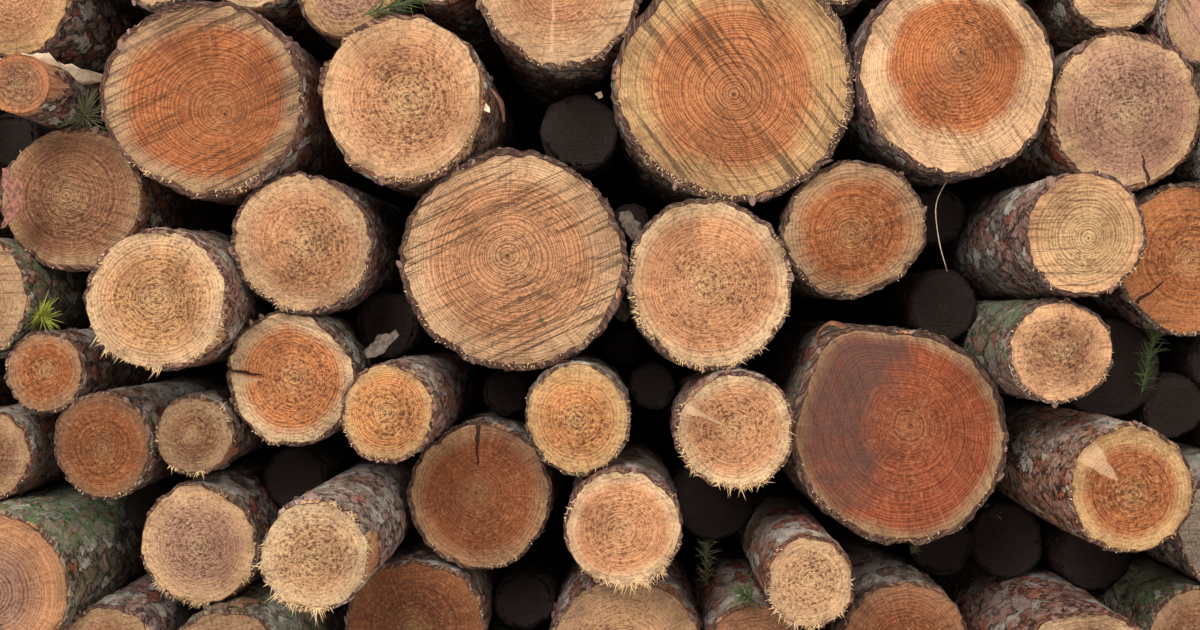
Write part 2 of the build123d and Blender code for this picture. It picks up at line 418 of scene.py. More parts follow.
barkCoat = {
    "plate": seen(150, 122, 110),
    "warm": seen(190, 124, 98),
    "cool": seen(124, 114, 110),
    "pale": seen(220, 208, 192),
    # painted shade for the bark's crevices, and for the bark of logs set back in gaps
    "creviceAndGapShade": seen(40, 27, 22),
    "inner": seen(178, 100, 66),
    "lichen": seen(156, 164, 140),
    "moss": seen(98, 146, 62),
    "rust": seen(176, 82, 56),
    "bare": seen(224, 182, 138),
    "bareStreak": seen(156, 100, 64),
    "plateScale": 46.0,
    "flakeScale": 130.0,
    "scalyScale": 120,
    "broadScale": 12,
    "wideScale": 3.4,
    "streakScale": 240,
    "driftScale": 30.0,
    "drift": 0.045,
    "stretch": (1.0, 0.42, 1.0),
    "bumpDepth": 0.005,
    "shine": 0.25,
}


def makeBark(look):
    material, t, shader = newMaterial("pineBark")
    place = t.add("ShaderNodeTexCoord").outputs["Object"]
    cloud = t.add(
        "ShaderNodeTexNoise", None, Vector=place, Scale=look["driftScale"], Detail=4.0, Roughness=0.65
    )
    drift = t.vector("SCALE", t.vector("SUBTRACT", cloud.outputs["Color"], (0.5, 0.5, 0.5)), look["drift"])
    drawn = t.vector("MULTIPLY", t.vector("ADD", place, drift), look["stretch"])

    def cells(feature, scale, output):
        node = t.add("ShaderNodeTexVoronoi", {"feature": feature}, Vector=drawn, Scale=scale)
        return node.outputs[output]

    seams = cells("DISTANCE_TO_EDGE", look["plateScale"], "Distance")
    plates = cells("F1", look["plateScale"], "Color")
    pick = t.add("ShaderNodeSeparateColor", None, i0=plates).outputs
    small = cells("F1", look["flakeScale"], "Color")
    pickSmall = t.add("ShaderNodeSeparateColor", None, i0=small).outputs
    scaly = t.noise(drawn, look["scalyScale"], 4, 0.7)
    broad = t.noise(drawn, look["broadScale"], 3, 0.6)
    tint = t.attribute("barkColour", "Color")
    colour = t.mix(t.ease(pick[0], 0.2, 0.8), look["cool"], look["plate"])
    colour = t.mix(t.ease(pick[1], 0.55, 0.85, 0.0, 0.8), colour, look["warm"])
    colour = t.mix(0.5, colour, tint)
    wide = t.noise(place, look["wideScale"], 3, 0.6)
    colour = t.mix(t.ease(wide, 0.54, 0.66, 0.0, 0.5), colour, look["inner"])
    # the last of these paints shade into the small low cells
    for first, second, shade in (
        (t.ease(pick[2], 0.66, 0.72), t.ease(broad, 0.4, 0.54, 0.1, 1.0), look["pale"]),
        (t.ease(pick[2], 0.14, 0.1), t.ease(broad, 0.6, 0.44, 0.1, 0.75), look["rust"]),
        (t.ease(pickSmall[0], 0.74, 0.8), 0.35, look["pale"]),
        (t.ease(pickSmall[1], 0.24, 0.16), 0.45, look["creviceAndGapShade"]),
    ):
        colour = t.mix(t.times(first, second), colour, shade)
    # painted shade where the bark lies lowest: in the low scales and the seams between plates
    colour = t.mix(t.ease(scaly, 0.48, 0.36, 0.0, 0.9), colour, look["creviceAndGapShade"])
    seam = t.ease(t.timesPlus(t.minus(scaly, 0.5), 0.16, seams), 0.07, 0.02)
    colour = t.mix(t.times(seam, 0.85), colour, look["creviceAndGapShade"])
    upward = t.parts(t.attribute("outward", "Vector"))[2]
    palePatch = t.times(t.ease(broad, 0.4, 0.56, 0.0, 0.75), t.ease(pick[2], 0.2, 0.45))
    colour = t.mix(t.times(t.ease(upward, 0.3, 0.95), palePatch), colour, look["pale"])
    lichenPatch, lichenGrain = t.noise(place, 6.5, 3, 0.6), t.noise(place, 120, 3, 0.7)
    lichen = t.times(t.ease(lichenPatch, 0.54, 0.66), t.ease(lichenGrain, 0.42, 0.62))
    colour = t.mix(t.times(lichen, 0.7), colour, look["lichen"])
    moss = t.attribute("barkMoss")
    mossy = t.times(moss, t.ease(t.noise(place, 42, 4, 0.7), 0.4, 0.6))
    mossShade = t.mix(t.ease(scaly, 0.35, 0.65), look["moss"], look["lichen"])
    colour = t.mix(t.times(mossy, 0.85), colour, mossShade)
    bare = t.attribute("barkBare")
    streak = t.noise(t.vector("MULTIPLY", place, (1, 0.08, 1)), look["streakScale"], 3, 0.6)
    wood = t.mix(t.ease(streak, 0.4, 0.65), look["bare"], look["bareStreak"])
    wood = t.mix(t.ease(wide, 0.4, 0.6, 0.0, 0.5), wood, look["inner"])
    colour = t.mix(t.ease(t.timesPlus(t.minus(scaly, 0.5), 0.9, bare), 0.35, 0.55), colour, wood)
    # painted shade on the bark of a log set back in a gap, near its front
    colour = t.mix(t.times(t.attribute("shaded"), 0.85), colour, look["creviceAndGapShade"])
    height = t.times(scaly, 1.6)
    height = t.plus(height, t.times(pick[0], 0.5))
    height = t.plus(height, t.times(pickSmall[1], 0.4))
    height = t.minus(height, t.times(seam, 0.9))
    height = t.times(height, t.ease(bare, 0.2, 0.8, 1.0, 0.2))
    rough = t.ease(scaly, 0.3, 0.7, 0.95, 0.72)
    finishMaterial(t, shader, colour, rough, look["shine"], t.bump(height, look["bumpDepth"]))
    return material


barkMaterial = makeBark(barkCoat)


# Torn fibres, loose flakes and needles

plainShine = 0.25


def plainFinish(name, shade, rough, other=None, amount=0.0):
    material, t, shader = newMaterial(name)
    if other is None:
        shader.inputs["Specular IOR Level"].default_value = plainShine
        shader.inputs["Base Color"].default_value = seen(*shade)
        shader.inputs["Roughness"].default_value = rough
        return material
    patch = t.noise(t.add("ShaderNodeTexCoord").outputs["Object"], 160, 3, 0.6)
    colour = t.mix(t.ease(patch, 0.4, 0.62, 0.0, amount), seen(*shade), seen(*other))
    roughness = t.ease(patch, 0.3, 0.7, rough, rough - 0.15)
    finishMaterial(t, shader, colour, roughness, plainShine, t.bump(patch, 0.0008, 0.5))
    return material


fibreMaterial = plainFinish("tornFibre", (226, 190, 142), 0.85)
flakeMaterial = plainFinish("barkFlake", (138, 108, 96), 0.9)
stripFinishes = {
    "splinter": plainFinish("paleSplinter", (240, 216, 184), 0.8, (206, 160, 118), 0.5),
    "peel": plainFinish("peeledBark", (164, 110, 92), 0.8, (104, 70, 58), 0.9),
    "curl": plainFinish("curledBark", (158, 108, 80), 0.8, (110, 66, 46), 0.8),
    "shard": plainFinish("greyShard", (128, 112, 100), 0.9, (70, 58, 50), 0.7),
}
needleFinishes = {
    "green": plainFinish("pineNeedle", (92, 106, 64), 0.6),
    "dry": plainFinish("dryNeedle", (140, 136, 102), 0.7),
    "bud": plainFinish("greenShoot", (190, 194, 90), 0.6),
}
print("materials made")


# Wood and bark of each log, by what its end looks like

woods = {
    "deepOrange": (190, 112, 64),
    "orange": (206, 130, 80),
    "brightOrange": (222, 150, 92),
    "warmTan": (218, 154, 108),
    "paleTan": (222, 178, 134),
    "pinkTan": (200, 150, 122),
    "greyTan": (190, 150, 112),
    "dullBrown": (170, 116, 82),
    "rust": (176, 90, 54),
    "yellowTan": (208, 164, 112),
    "cream": (230, 194, 150),
    "paleYellow": (222, 178, 126),
    "silver": (168, 150, 132),
    "lightOrange": (240, 176, 120),
    "lightTan": (236, 180, 132),
    "darkOrange": (156, 88, 52),
    "dimOrange": (134, 78, 46),
}
barks = {
    "grey": (150, 138, 126),
    "pink": (202, 136, 116),
    "purple": (136, 106, 106),
    "orange": (196, 134, 92),
    "green": (126, 132, 104),
    "red": (186, 92, 62),
    "brown": (128, 96, 78),
    "pale": (218, 192, 180),
}

commonLook = {
    "heart": "dullBrown",  # kinds of wood
    "sap": "greyTan",
    "lift": 1.0,  # how much lighter than its kind of wood
    "share": 0.7,  # how far out the heart goes
    "soft": 0.2,  # how softly it ends
    "saw": (0, 0.3),  # direction of the saw lines in degrees and their strength
    "rings": 0.3,  # their contrast
    "fuzz": 0.4,  # torn grain
    "crack": (0, 3.0),  # direction and the share of the radius where it starts, 3 for none
    "spike": (0, 3.0, 0.0),  # the same of a pale branch trace, and its spread
    "stain": 0.0,  # wet and brown to the left
    "dim": 0.0,  # painted shade of a log set back in a gap: its front end near black, its bark darker near the front
    "bark": "brown",
    "moss": 0.0,
    "torn": 0.25,  # how much of the bark is off near the cut
}

# What differs from that. Some give their pith too, its place off the middle as a share of the radius, and the
# fringe of torn fibres, which otherwise follows the torn grain.
endLooks = {
    "top_log_1": dict(heart="warmTan", sap="yellowTan", saw=(10, 0.3)),
    "top_log_2": dict(sap="orange", share=0.8, saw=(80, 0.2), fuzz=0.5, torn=0.9),
    "top_log_3": dict(heart="greyTan", sap="paleTan", share=0.6, rings=0.2, fuzz=0.5),
    "top_log_4": dict(
        heart="deepOrange", share=0.83, saw=(25, 0.8), rings=0.42, fuzz=0.15, pith=(0.24, -0.18), soft=0.07,
        bark="pink", fringe=0.35,
    ),
    "top_log_5": dict(
        lift=1.1, heart="warmTan", sap="paleTan", share=0.8, saw=(60, 0.25), rings=0.26, fuzz=0.9,
        bark="orange", torn=0.5,
    ),
    "top_log_6": dict(heart="warmTan", sap="paleTan", saw=(5, 0.35), spike=(-92, 0.15, 0.003)),
    "top_log_7": dict(
        heart="orange", sap="yellowTan", share=0.74, saw=(-52, 0.85), rings=0.5, fuzz=0.12, pith=(0.0, -0.1),
        soft=0.1, fringe=0.3,
    ),
    "top_log_8": dict(heart="greyTan", sap="paleTan", share=0.6, rings=0.2, fuzz=0.5),
    "top_log_9": dict(
        lift=1.28, heart="deepOrange", sap="paleTan", saw=(-55, 0.5), rings=0.42, fuzz=0.45, pith=(0.04, 0.2),
        soft=0.06, bark="purple",
    ),
    "top_log_10": dict(
        heart="pinkTan", sap="paleTan", share=0.84, soft=0.1, saw=(20, 0.2), rings=0.2, fuzz=0.9,
        crack=(-76, 0.6), bark="orange",
    ),
    "top_log_11": dict(heart="warmTan", sap="paleTan", share=0.6),
    "upper_log_1": dict(share=0.88, soft=0.1, saw=(-15, 0.5), rings=0.4, fuzz=0.5, bark="pink", torn=0.5),
    "upper_log_2": dict(
        lift=1.1, heart="lightOrange", sap="cream", share=0.78, saw=(40, 0.2), rings=0.34, fuzz=0.8,
        bark="pink", torn=0.6, fringe=0.9,
    ),
    "upper_log_3": dict(
        heart="warmTan", sap="paleTan", share=0.76, soft=0.12, saw=(30, 0.15), rings=0.26, fuzz=0.9,
        bark="purple",
    ),
    "upper_log_4": dict(
        heart="warmTan", sap="paleTan", share=0.78, saw=(24, 0.95), rings=0.5, fuzz=0.35, pith=(-0.05, 0.05),
        soft=0.12,
    ),
    "upper_log_5": dict(
        lift=1.16, heart="warmTan", sap="cream", share=0.84, soft=0.1, saw=(-60, 0.2), fuzz=0.75, torn=0.4,
        fringe=0.8,
    ),
    "upper_log_6": dict(heart="deepOrange", share=0.78, soft=0.12, saw=(15, 0.4), rings=0.4, fuzz=0.5),
    "upper_log_7": dict(
        heart="paleYellow", sap="lightTan", share=0.8, saw=(2, 0.6), rings=0.4, fuzz=0.5, bark="purple"
    ),
    "upper_log_8": dict(
        heart="deepOrange", sap="orange", saw=(2, 0.4), rings=0.36, fuzz=0.6, crack=(218, 0.5),
        spike=(-30, 0.3, 0.006), bark="grey",
    ),
    "middle_log_0": dict(share=0.6, fuzz=0.3, bark="green", moss=0.9),
    "middle_log_1": dict(heart="deepOrange", share=0.8, saw=(30, 0.25), rings=0.34, fuzz=0.7),
    "middle_log_2": dict(
        lift=0.76, heart="deepOrange", sap="dullBrown", share=0.82, soft=0.12, saw=(10, 0.3), rings=0.4,
        fuzz=0.45,
    ),
    "middle_log_3": dict(lift=0.83, share=0.6, saw=(0, 0.2), rings=0.2, fuzz=0.9, torn=0.5, fringe=0.9),
    "middle_log_4": dict(
        lift=1.35, heart="orange", sap="cream", share=0.8, soft=0.1, saw=(-20, 0.3), rings=0.36, fuzz=0.7,
        crack=(174, 0.5), spike=(182, 0.5, 0.016),
    ),
    "middle_log_5": dict(
        lift=1.12, heart="brightOrange", sap="yellowTan", share=0.8, soft=0.1, saw=(20, 0.2), rings=0.34,
        fuzz=0.8, bark="pink", torn=0.4,
    ),
    "middle_log_6": dict(
        lift=1.17, heart="brightOrange", sap="yellowTan", saw=(-10, 0.2), rings=0.34, fuzz=0.75, bark="green"
    ),
    "middle_log_7": dict(
        lift=1.17, heart="warmTan", sap="cream", share=0.82, soft=0.12, saw=(40, 0.2), rings=0.26, fuzz=0.75,
        bark="pink", torn=0.5, spike=(155, 0.2, 0.006), fringe=1.1,
    ),
    "middle_log_8": dict(
        heart="rust", share=0.92, soft=0.06, saw=(-70, 0.3), rings=0.4, fuzz=0.25, pith=(0.1, 0.1), stain=1.0
    ),
    "middle_log_9": dict(
        lift=1.36, sap="lightTan", share=0.62, soft=0.3, saw=(10, 0.2), rings=0.2, fuzz=1.0, bark="purple",
        moss=1.0,
    ),
    "middle_log_10": dict(
        lift=1.11, heart="deepOrange", sap="yellowTan", share=0.74, soft=0.1, saw=(-15, 0.2), rings=0.36,
        fuzz=0.65, spike=(138, 0.3, 0.024), bark="orange",
    ),
    "middle_log_11": dict(heart="silver", sap="silver", share=0.6, bark="grey"),
    "lower_log_0": dict(share=0.6, fuzz=0.3, bark="red"),
    "lower_log_1": dict(
        lift=0.84, heart="pinkTan", sap="warmTan", share=0.6, saw=(10, 0.2), rings=0.46, fuzz=0.3,
        bark="green", moss=1.0, fringe=0.05,
    ),
    "lower_log_2": dict(
        lift=1.18, heart="pinkTan", sap="paleTan", saw=(0, 0.15), rings=0.28, fuzz=0.75, fringe=0.7
    ),
    "lower_log_3": dict(
        heart="lightTan", sap="cream", saw=(60, 0.1), rings=0.2, fuzz=1.0, bark="pale", torn=0.9, fringe=1.6
    ),
    "lower_log_4": dict(
        lift=1.15, heart="darkOrange", share=0.88, soft=0.16, saw=(-40, 0.25), fuzz=0.35, crack=(88, 0.4)
    ),
    "lower_log_5": dict(
        lift=1.24, heart="warmTan", sap="cream", share=0.82, soft=0.1, saw=(15, 0.25), fuzz=0.5, bark="pink",
        torn=0.4, fringe=1.0,
    ),
    "lower_log_6": dict(
        heart="lightTan", sap="paleTan", saw=(0, 0.15), rings=0.26, fuzz=0.8, bark="red", torn=0.5, fringe=1.0
    ),
    "base_log_1": dict(saw=(20, 0.3), bark="green", moss=0.5),
    "base_log_2": dict(lift=1.2, heart="dimOrange", sap="dimOrange", saw=(10, 0.2), rings=0.32),
    "base_log_3": dict(heart="lightTan", saw=(10, 0.3), bark="purple", torn=0.6),
    "base_log_4": dict(sap="dullBrown", saw=(10, 0.3), bark="red"),
    "base_log_5": dict(heart="darkOrange", sap="dullBrown", saw=(10, 0.3), rings=0.34),
    "base_log_6": dict(sap="cream", share=0.8, saw=(10, 0.3), bark="red"),
    "base_log_7": dict(saw=(10, 0.3), bark="purple"),
    "base_log_8": dict(saw=(10, 0.3), bark="green", moss=0.9),
}
print("looks listed for", len(endLooks), "logs")


# Smooth value noise from -1 to 1, places given in cells
def latticeNoise(places, seed):
    base = np.floor(places).astype(np.int64)
    part = places - base
    part = part * part * (3 - 2 * part)
    total = np.zeros(len(places))
    for corner in range(8):
        step = np.array([corner & 1, corner >> 1 & 1, corner >> 2 & 1])
        key = ((base + step) * np.array([73856093, 19349663, 83492791])).sum(-1) + seed * 7919
        key = (key ^ (key >> 13)) * 1274126177 & 0xFFFFFFFF
        key = (key ^ (key >> 15)) * 2246822519 & 0xFFFFFFFF
        value = (key >> 12 & 0xFFFF) / 32767.5 - 1
        total += value * np.prod(np.where(step, part, 1 - part), -1)
    return total


def layeredNoise(places, seed, layers=3):
    return sum(latticeNoise(places * 2.0 ** i, seed + 31 * i) * 0.5 ** i for i in range(layers))


# The front and back outline of every log in a CAD node
def logsOf(node):
    mesh = bmesh.new()
    mesh.from_mesh(node.data)
    bmesh.ops.remove_doubles(mesh, verts=mesh.verts, dist=1e-5)
    mesh.verts.ensure_lookup_table()
    left = set(range(len(mesh.verts)))
    found = []
    while left:
        island = {left.pop()}
        edge = list(island)
        while edge:
            vertex = mesh.verts[edge.pop()]
            for link in vertex.link_edges:
                other = link.other_vert(vertex).index
                if other not in island:
                    island.add(other)
                    edge.append(other)
        left -= island
        places = np.array([mesh.verts[i].co for i in sorted(island)])
        low, high = places[:, 1].min(), places[:, 1].max()
        found.append([places[places[:, 1] < low + 0.2], places[places[:, 1] > high - 0.2]])
    mesh.free()
    return sorted(found, key=lambda pair: (round(pair[0][:, 0].mean(), 3), pair[0][:, 2].mean()))


# A ring of corners as a middle, a smooth radius by angle and the plane that it lies in
class SawCut:
    def __init__(self, corners):
        flat = corners[:, [0, 2]]
        self.fit = np.linalg.lstsq(np.c_[flat, np.ones(len(flat))], corners[:, 1], rcond=None)[0]
        self.middle = (flat.max(0) + flat.min(0)) / 2
        away = flat - self.middle
        turn = np.arctan2(away[:, 1], away[:, 0])
        order = np.argsort(turn)
        self.turns = turn[order]
        self.radii = np.hypot(away[:, 0], away[:, 1])[order]
        self.radius = self.radii.mean()

    def reach(self, turns):
        wrapped = (turns + math.pi) % (2 * math.pi) - math.pi

        def radiusAt(shift):
            return np.interp(wrapped + shift, self.turns, self.radii, period=2 * math.pi)

        soft = 0.35 * (radiusAt(0.1) + radiusAt(-0.1))
        return 0.3 * radiusAt(0.0) + soft

    def at(self, flat):
        depth = self.fit[0] * flat[:, 0] + self.fit[1] * flat[:, 1] + self.fit[2]
        return np.c_[flat[:, 0], depth, flat[:, 1]]


stem = {
    "spokes": (96, 128, 168),  # under the first of these radii, under the second and over that
    "spokeRadii": (0.075, 0.11),
    "plainSpokes": 56,
    "faceSteps": (0.06, 0.14, 0.24, 0.35, 0.46, 0.57, 0.68, 0.78, 0.87, 0.94),
    "plainFaceSteps": (0.25, 0.5, 0.75),
    "wallSteps": (
        0.003, 0.007, 0.012, 0.018, 0.026, 0.036, 0.048, 0.062, 0.08, 0.1, 0.125, 0.155, 0.19, 0.23, 0.28,
        0.34, 0.44, 0.6, 0.85, 1.3, 1.9, 2.5,
    ),
    "plainWallSteps": (0.006, 0.02, 0.05, 0.1, 0.17, 0.26, 0.4, 0.6, 0.85, 1.15, 1.5, 1.85, 2.2, 2.5, 2.75),
    "barkShare": 0.06,
    "barkLeast": 0.0052,
    "barkUneven": 0.35,
    "thinnestRim": 0.0012,
    "ridges": 0.003,
    "lumps": 0.004,
    "thinRadius": 0.08,  # a log thinner than this has ridges lower by thinRidges
    "thinRidges": 0.7,
    "ridgeScale": 70,
    "lumpScale": 9,
    "tornReach": 0.09,
    "tornEdge": 0.012,
    "flakeReach": 0.3,
    "shadeReach": 1.4,
    "faceTilt": 0.35,
}


class MeshParts:
    def __init__(self):
        self.places, self.faces, self.spots, self.kinds, self.values, self.count = [], [], [], [], [], 0

    def add(self, places, faces, spots, kinds, values):
        self.places.append(places)
        self.spots.append(spots)
        self.faces.append(faces + self.count * (faces >= 0))
        self.kinds.append(kinds)
        self.values.append(values)
        self.count += len(places)


sorts = {
    "number": ("FLOAT", "value", 1),
    "vector": ("FLOAT_VECTOR", "vector", 3),
    "colour": ("FLOAT_COLOR", "color", 4),
}
valueNames = {
    "number": (
        "endShare", "endRing", "heartSoft", "spikeWide", "shaded", "endStain", "endBark", "barkMoss",
        "barkBare", "fringe", "flaky",
    ),
    "vector": ("endPlace", "endLook", "sawWay", "crackWay", "spikeWay", "outward"),
    "colour": ("heartColour", "sapColour", "barkColour"),
}
valueKinds = {name: sorts[sort] for sort, names in valueNames.items() for name in names}


# Where a log's surface lies on its map: both ends as discs, the front one largest, and the bark as a strip
# that gives its front 0.3 m two fifths of the length. A node of several logs gets a square cell for each.
mapLayout = {
    "front": (0.3, 0.695, 0.293),
    "back": (0.8, 0.6, 0.188),
    "strip": (0.006, 0.006, 0.988, 0.378),
    "woodShare": 0.9,
    "sectionShare": 0.93,
    "nearLength": 0.3,
    "nearShare": 0.4,
}


def discSpots(where, share, spokes):
    turns = np.arange(spokes + 1) * 2 * math.pi / spokes
    x, y, radius = mapLayout[where]
    return np.c_[x + radius * share * np.cos(turns), y + radius * share * np.sin(turns)]


def stripSpots(along, length, spokes):
    near, part = mapLayout["nearLength"], mapLayout["nearShare"]
    u = part * along / near if along < near else part + (1 - part) * (along - near) / (length - near)
    x, y, wide, high = mapLayout["strip"]
    return np.c_[np.full(spokes + 1, x + wide * u), y + high * np.arange(spokes + 1) / spokes]


def ringSpots(first, second, turned=False):
    spots = np.stack([first[:-1], second[:-1], second[1:], first[1:]], 1)
    return spots[:, ::-1] if turned else spots


def fanSpots(pole, ring, turned=False):
    near, far = (ring[1:], ring[:-1]) if turned else (ring[:-1], ring[1:])
    return np.stack([np.broadcast_to(pole, near.shape), near, far, near], 1)


def ringFaces(first, second, spokes, turned=False):
    i = np.arange(spokes)
    j = (i + 1) % spokes
    faces = np.stack([first + i, second + i, second + j, first + j], 1)
    return faces[:, ::-1] if turned else faces


def fanFaces(pole, ring, spokes, turned=False):
    i = np.arange(spokes)
    j = (i + 1) % spokes
    first, second = (j, i) if turned else (i, j)
    return np.stack([np.full(spokes, pole), ring + first, ring + second, np.full(spokes, -1)], 1)


def lifted(shade, lift):
    plain = seen(*shade)[:3]
    return tuple(part * min(lift, 0.92 / max(plain)) for part in plain) + (1.0,)


def wayOf(degrees, last):
    return (math.cos(math.radians(degrees)), math.sin(math.radians(degrees)), last)


def dressLog(parts, rings, look, plain, seed):
    front, back = SawCut(rings[0]), SawCut(rings[1])
    radius = front.radius
    sizeClass = sum(radius > limit for limit in stem["spokeRadii"])
    spokes = stem["plainSpokes"] if plain else stem["spokes"][sizeClass]
    turns = np.arange(spokes) * 2 * math.pi / spokes
    way = np.c_[np.cos(turns), np.sin(turns)]
    own = random.Random(seed)
    length = rings[1][:, 1].mean() - rings[0][:, 1].mean()
    dim, torn = look["dim"], look["torn"]

    def spread(value):
        return np.full(spokes, value)

    def around(scale, depth, extra):  # noise from -1 to 1 by direction
        return layeredNoise(np.c_[way * scale, spread(seed * depth)], seed + extra, 3)

    aroundNoise = around(3.0, 3.7, 0)
    thick = max(stem["barkLeast"], stem["barkShare"] * radius) * (1 + stem["barkUneven"] * aroundNoise)
    hanging = np.clip(0.2 + 1.5 * around(2.6, 2.1, 8) - 0.9 * way[:, 1], 0.02, 1.8)
    fringed = look.get("fringe", 0.05 + 0.3 * look["fuzz"]) * hanging
    tornShare = np.clip(around(1.7, 1.3, 5) - (0.75 - 1.1 * torn), 0, 1)
    tornLength = tornShare * stem["tornReach"] * (0.4 + torn)

    def wallRing(along):  # places of the bark's ring at a distance from the front cut
        part = along / length
        outer = front.reach(turns) * (1 - part) + back.reach(turns) * part
        middle = front.middle * (1 - part) + back.middle * part
        spot = np.c_[way * radius, spread(along * 0.4)]
        ridges = stem["ridges"] * (1.0 if radius > stem["thinRadius"] else stem["thinRidges"])
        rough = layeredNoise(spot * stem["ridgeScale"], seed, 3) * ridges
        lump = latticeNoise(spot * stem["lumpScale"], seed + 3) * stem["lumps"]
        bare = np.clip((tornLength - along) / stem["tornEdge"] + 0.5, 0, 1) * (tornLength > 0.002)
        outer = outer + (rough + lump - 0.0015) * (1 - bare) - thick * 0.9 * bare
        flat = middle + way * outer[:, None]
        lowY = front.at(flat)[:, 1] + along
        highY = back.at(flat)[:, 1] - (length - along)
        return np.c_[flat[:, 0], lowY * (1 - part) + highY * part, flat[:, 1]], bare

    places, values = [], {key: [] for key in valueKinds}
    faces, spots, kinds = [], [], []
    pithShare = look.get("pith", (own.uniform(-0.08, 0.08), own.uniform(-0.08, 0.08)))
    sawTurn, sawForce = look["saw"]
    spikeTurn, spikeStart, spikeWide = look["spike"]
    constants = {
        "endLook": (look["share"], sawForce, look["fuzz"]),
        "sawWay": wayOf(sawTurn, look["rings"]),
        "crackWay": wayOf(*look["crack"]),
        "spikeWay": wayOf(spikeTurn, spikeStart),
        "heartSoft": look["soft"],
        "spikeWide": spikeWide,
        "heartColour": lifted(woods[look["heart"]], look["lift"]),
        "sapColour": lifted(woods[look["sap"]], look["lift"]),
        "barkColour": seen(*barks[look["bark"]]),
    }

    def put(at, **given):
        count = len(at)
        start = sum(len(p) for p in places)
        places.append(at)
        for key, (_, _, width) in valueKinds.items():
            value = given.get(key, constants.get(key, (0.0,) * width))
            values[key].append(np.broadcast_to(np.asarray(value, float).reshape(-1, width), (count, width)))
        return start

    def cover(newFaces, newSpots, kind):
        faces.append(newFaces)
        spots.append(newSpots)
        kinds.append(np.full(spokes, kind))

    def band(first, second, firstSpots, secondSpots, kind, turned=False):
        cover(ringFaces(first, second, spokes, turned), ringSpots(firstSpots, secondSpots, turned), kind)

    def onEnd(away):  # a place in the face, with a depth of its own for the noise
        return np.c_[away, spread(seed * 0.37)]

    def endFace(cut, edgePlaces, forward, edgeStart, edgeInset, steps):
        # the disc from the pith out to the wood's edge; the bark's section closes it to the wall
        where, tilt = ("front", -stem["faceTilt"]) if forward else ("back", stem["faceTilt"])
        # painted shade of a log set back in a gap falls on its front end only
        paintedGapShade, hairs = (dim, fringed) if forward else (0.0, 0.0)
        outward = np.c_[way[:, 0], spread(tilt), way[:, 1]]
        pith = cut.middle + np.array(pithShare) * cut.radius
        edgeFlat = edgePlaces[:, [0, 2]]
        smoothFlat = cut.middle + way * (cut.reach(turns) - edgeInset.mean())[:, None]
        centre = put(cut.at(pith[None]), endPlace=(0, 0, seed * 0.37), endStain=paintedGapShade)
        last, lastSpots = None, None
        woodShare = 1 - edgeInset / np.hypot(*(edgeFlat - pith).T)
        for step in tuple(steps) + (0.985, 1.0):
            ragged = min(max((step - 0.94) / 0.06, 0), 1)
            smooth = (smoothFlat - pith) * step * (1 - ragged)
            flat = pith + smooth + (edgeFlat - pith) * woodShare[:, None] * step * ragged
            at = cut.at(flat)
            if not plain and step > 0.8:
                shake = layeredNoise(np.c_[flat * 160, spread(seed)], seed + 9, 2)
                at[:, 1] += shake * 0.0012 * (step - 0.8) * 5
            away = flat - pith
            # holds the painted gap shade, and the wet stain where a log has one
            stain = spread(paintedGapShade)
            if look["stain"]:
                left = -away[:, 0] / cut.radius + 0.35 * away[:, 1] / cut.radius
                blotch = layeredNoise(np.c_[flat * 25, spread(0)], seed, 3)
                stain = np.clip(0.1 + 2.4 * left + 0.5 * blotch, 0, 1) * look["stain"]
                stain = stain * np.clip((step - 0.18) * 5, 0, 1) * np.clip((0.99 - step) * 12, 0.25, 1)
            start = put(
                at, endPlace=onEnd(away), endShare=step, endRing=step * cut.radius, endStain=stain,
                fringe=hairs if step == 1.0 else 0.0, outward=outward,
            )
            newSpots = discSpots(where, step * mapLayout["woodShare"], spokes)
            if last is None:
                pole = np.array(mapLayout[where][:2])
                cover(fanFaces(centre, start, spokes, not forward), fanSpots(pole, newSpots, not forward), 0)
            else:
                band(last, start, lastSpots, newSpots, 0, not forward)
            last, lastSpots = start, newSpots
        # bark in section
        flat = pith + (edgeFlat - pith) * (woodShare + (1 - woodShare) * 0.18)[:, None]
        start = put(
            cut.at(flat) + np.array([0, 0.0008 if forward else -0.0008, 0]), endPlace=onEnd(flat - pith),
            endShare=1.0, endRing=cut.radius, endBark=1.0, endStain=paintedGapShade, fringe=hairs, outward=outward,
        )
        middleSpots = discSpots(where, mapLayout["sectionShare"], spokes)
        outerSpots = discSpots(where, 1.0, spokes)
        band(last, start, lastSpots, middleSpots, 0, not forward)
        band(start, edgeStart, middleSpots, outerSpots, 0, not forward)

